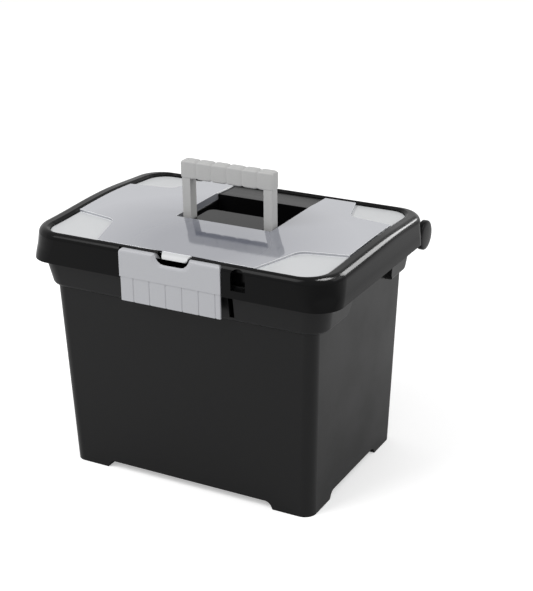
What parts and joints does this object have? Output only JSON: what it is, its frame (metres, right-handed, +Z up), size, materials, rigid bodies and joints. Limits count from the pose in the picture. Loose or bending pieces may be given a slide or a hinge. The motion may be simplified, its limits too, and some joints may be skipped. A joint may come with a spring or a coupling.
{
  "type": "portable file box",
  "caption": "Portable box for hanging files: drafted tub, hinged lid with an organizer tray under a see-through cover, snap latch and folding carry handle.",
  "frame": {"origin": "on the floor, under the middle of the whole box", "axes": "+X to the right along the lid's length, +Y from the latch to the hinges, +Z up"},
  "size_m": [0.381, 0.2762, 0.355],
  "materials": {
    "black_plastic": "satin moulded, glossy on the rounded edges",
    "grey_plastic": "satin moulded",
    "handle_plastic": "satin moulded",
    "clear_plastic": "glossy, frosted on the corner pads"
  },
  "bodies": {
    "tub": {"tub": "black_plastic", "hinge_pin_left": "black_plastic", "hinge_pin_right": "black_plastic"},
    "lid": {"lid": "black_plastic"},
    "organizer_cover": {"organizer_cover": "clear_plastic"},
    "latch": {"latch": "grey_plastic"},
    "handle": {"handle": "handle_plastic"}
  },
  "joints": [
    {"name": "lid_hinge", "type": "hinge", "parent": "tub", "child": "lid", "pos_m": [0, 0.1207, 0.262], "axis": [-1, 0, 0], "range_deg": [0, 105]},
    {"name": "handle_fold", "type": "hinge", "parent": "lid", "child": "handle", "pos_m": [0, -0.0041, 0.276], "axis": [-1, 0, 0], "range_deg": [0, 90]},
    {"name": "latch_swing", "type": "hinge", "parent": "lid", "child": "latch", "pos_m": [0, -0.1336, 0.2855], "axis": [-1, 0, 0], "range_deg": [0, 90]},
    {"name": "cover_lift", "type": "slide", "parent": "lid", "child": "organizer_cover", "axis": [0, 0, 1], "range_m": [0, 0.075]}
  ]
}
